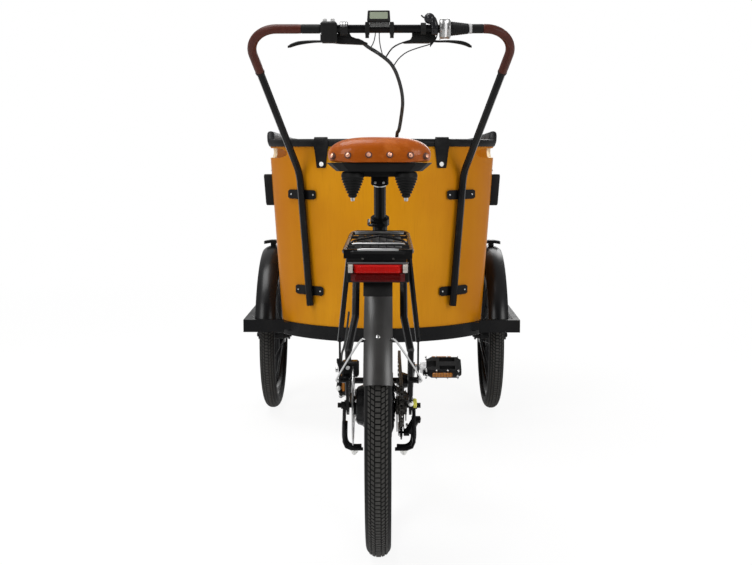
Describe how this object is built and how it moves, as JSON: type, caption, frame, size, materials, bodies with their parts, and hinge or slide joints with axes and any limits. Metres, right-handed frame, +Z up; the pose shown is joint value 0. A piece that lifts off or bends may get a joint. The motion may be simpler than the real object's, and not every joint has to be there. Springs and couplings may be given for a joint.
{
  "type": "electric cargo tricycle",
  "caption": "Electric front-load cargo tricycle with a varnished plywood box, tan leather saddle and grips, rear rack, chain drive and hub motor; the box steers with the handlebar.",
  "frame": {"origin": "on the ground, midway between the back of the rear tyre and the front of the box's rim, on the middle plane", "axes": "+Y forward, +X to the rider's right, +Z up"},
  "size_m": [0.885, 2.151, 1.2874],
  "materials": {
    "black_paint": "satin black powder coat",
    "black_plastic": "moulded black plastic",
    "red_lens": "clear red moulded lens",
    "steel": "bright steel",
    "tan_leather": "polished tan leather",
    "tyre_rubber": "black tyre rubber",
    "varnished_plywood": "golden varnished plywood",
    "rim_rubber": "satin black rubber",
    "silver_plastic": "silver-painted plastic",
    "grey_button": "grey rubberised plastic"
  },
  "bodies": {
    "frame": {"rear_frame": "black_paint", "seat_collar": "black_paint", "rear_rack": "black_paint", "tail_light_housing": "black_plastic", "tail_light_lens": "red_lens", "rear_mudguard": "black_paint", "rear_brake_caliper": "black_paint", "derailleur": "black_paint", "chain": "steel", "rear_axle": "black_paint", "rear_brake_cable": "black_plastic"},
    "saddle": {"seat_post": "black_paint", "saddle_base": "black_plastic", "saddle_leather": "tan_leather", "saddle_spring_left": "black_plastic", "saddle_spring_right": "black_plastic"},
    "rear_wheel": {"rear_tyre": "tyre_rubber", "rear_rim_and_spokes": "black_paint", "hub_motor": "black_paint", "rear_brake_rotor": "steel"},
    "cassette": {"cassette": "steel"},
    "cranks": {"crank_right": "black_paint", "crank_left": "black_paint"},
    "right_pedal": {"right_pedal_spindle": "black_plastic"},
    "right_pedal_platform": {"right_pedal_platform": "black_plastic"},
    "left_pedal": {"left_pedal_spindle": "black_plastic"},
    "left_pedal_platform": {"left_pedal_platform": "black_plastic"},
    "front": {"front_chassis": "black_paint", "box_floor": "varnished_plywood", "box_rear_panel": "varnished_plywood", "box_front_panel": "varnished_plywood", "box_joint_left": "black_paint", "box_joint_right": "black_paint", "box_rim": "rim_rubber", "pole_holder_left": "black_plastic", "pole_holder_right": "black_plastic", "handlebar": "black_paint", "grip_left": "tan_leather", "grip_right": "tan_leather", "brake_body_left": "black_paint", "brake_body_right": "black_paint", "shifter_housing": "silver_plastic", "display": "black_plastic", "switch_pod": "black_plastic", "bell": "black_paint", "cable_harness": "black_plastic", "left_front_mudguard": "black_paint", "right_front_mudguard": "black_paint"},
    "left_front_wheel": {"left_front_tyre": "tyre_rubber", "left_front_wheel": "black_paint"},
    "right_front_wheel": {"right_front_tyre": "tyre_rubber", "right_front_wheel": "black_paint"},
    "bench": {"bench": "varnished_plywood"},
    "battery": {"battery": "black_plastic"},
    "left_lever": {"brake_lever_left": "black_paint"},
    "right_lever": {"brake_lever_right": "black_paint"},
    "twist_shifter": {"twist_shifter": "black_plastic"},
    "button_minus": {"button_minus": "grey_button"},
    "button_plus": {"button_plus": "grey_button"},
    "bell_striker": {"bell_striker": "steel"}
  },
  "joints": [
    {"name": "steering", "type": "hinge", "parent": "frame", "child": "front", "pos_m": [0, 0.495, 0.26], "axis": [0, 0, 1], "range_deg": [-35, 35]},
    {"name": "seat_height", "type": "slide", "parent": "frame", "child": "saddle", "axis": [0, -0.3907, 0.9205], "range_m": [-0.055, 0.09]},
    {"name": "rear_wheel_spin", "type": "hinge", "parent": "frame", "child": "rear_wheel", "pos_m": [0, -0.745, 0.33], "axis": [1, 0, 0], "continuous": true},
    {"name": "crank_spin", "type": "hinge", "parent": "frame", "child": "cranks", "pos_m": [0, -0.315, 0.29], "axis": [1, 0, 0], "continuous": true},
    {"name": "cassette_spin", "type": "hinge", "parent": "frame", "child": "cassette", "pos_m": [0, -0.745, 0.33], "axis": [1, 0, 0], "continuous": true},
    {"name": "right_pedal_spin", "type": "hinge", "parent": "cranks", "child": "right_pedal", "pos_m": [0.1, -0.4703, 0.35915], "axis": [1, 0, 0], "continuous": true},
    {"name": "right_pedal_fold", "type": "hinge", "parent": "right_pedal", "child": "right_pedal_platform", "pos_m": [0.1123, -0.4663, 0.35222], "axis": [0, -0.866, -0.5], "range_deg": [0, 90]},
    {"name": "left_pedal_spin", "type": "hinge", "parent": "cranks", "child": "left_pedal", "pos_m": [-0.1, -0.1597, 0.22085], "axis": [1, 0, 0], "continuous": true},
    {"name": "left_pedal_unfold", "type": "hinge", "parent": "left_pedal", "child": "left_pedal_platform", "pos_m": [-0.1123, -0.1597, 0.21285], "axis": [0, -1, 0], "range_deg": [0, 90]},
    {"name": "left_front_wheel_spin", "type": "hinge", "parent": "front", "child": "left_front_wheel", "pos_m": [-0.38, 0.575, 0.254], "axis": [1, 0, 0], "continuous": true},
    {"name": "right_front_wheel_spin", "type": "hinge", "parent": "front", "child": "right_front_wheel", "pos_m": [0.38, 0.575, 0.254], "axis": [1, 0, 0], "continuous": true},
    {"name": "bench_fold", "type": "hinge", "parent": "front", "child": "bench", "pos_m": [0, 0.325, 0.585], "axis": [1, 0, 0], "range_deg": [0, 85]},
    {"name": "battery_slide", "type": "slide", "parent": "front", "child": "battery", "axis": [0, 1, 0], "range_m": [0, 0.27]},
    {"name": "left_brake", "type": "hinge", "parent": "front", "child": "left_lever", "pos_m": [-0.11, -0.17, 1.204], "axis": [0, 0, 1], "range_deg": [0, 12], "stiffness_Nm_per_rad": 1.2},
    {"name": "right_brake", "type": "hinge", "parent": "front", "child": "right_lever", "pos_m": [0.126, -0.17, 1.204], "axis": [0, 0, -1], "range_deg": [0, 12], "stiffness_Nm_per_rad": 1.2},
    {"name": "gear_twist", "type": "hinge", "parent": "front", "child": "twist_shifter", "pos_m": [0.21, -0.2, 1.231], "axis": [1, 0, 0], "range_deg": [-60, 60]},
    {"name": "button_minus_press", "type": "slide", "parent": "front", "child": "button_minus", "axis": [0, 0, -1], "range_m": [0, 0.0015], "stiffness_N_per_m": 800},
    {"name": "button_plus_press", "type": "slide", "parent": "front", "child": "button_plus", "axis": [0, 0, -1], "range_m": [0, 0.0015], "stiffness_N_per_m": 800},
    {"name": "bell_flick", "type": "hinge", "parent": "front", "child": "bell_striker", "pos_m": [0.136, -0.187, 1.261], "axis": [0, 0, -1], "range_deg": [0, 25], "stiffness_Nm_per_rad": 0.05}
  ],
  "couplings": [
    {"joint": "cassette_spin", "follows": "crank_spin", "ratio": 1.7273}
  ]
}
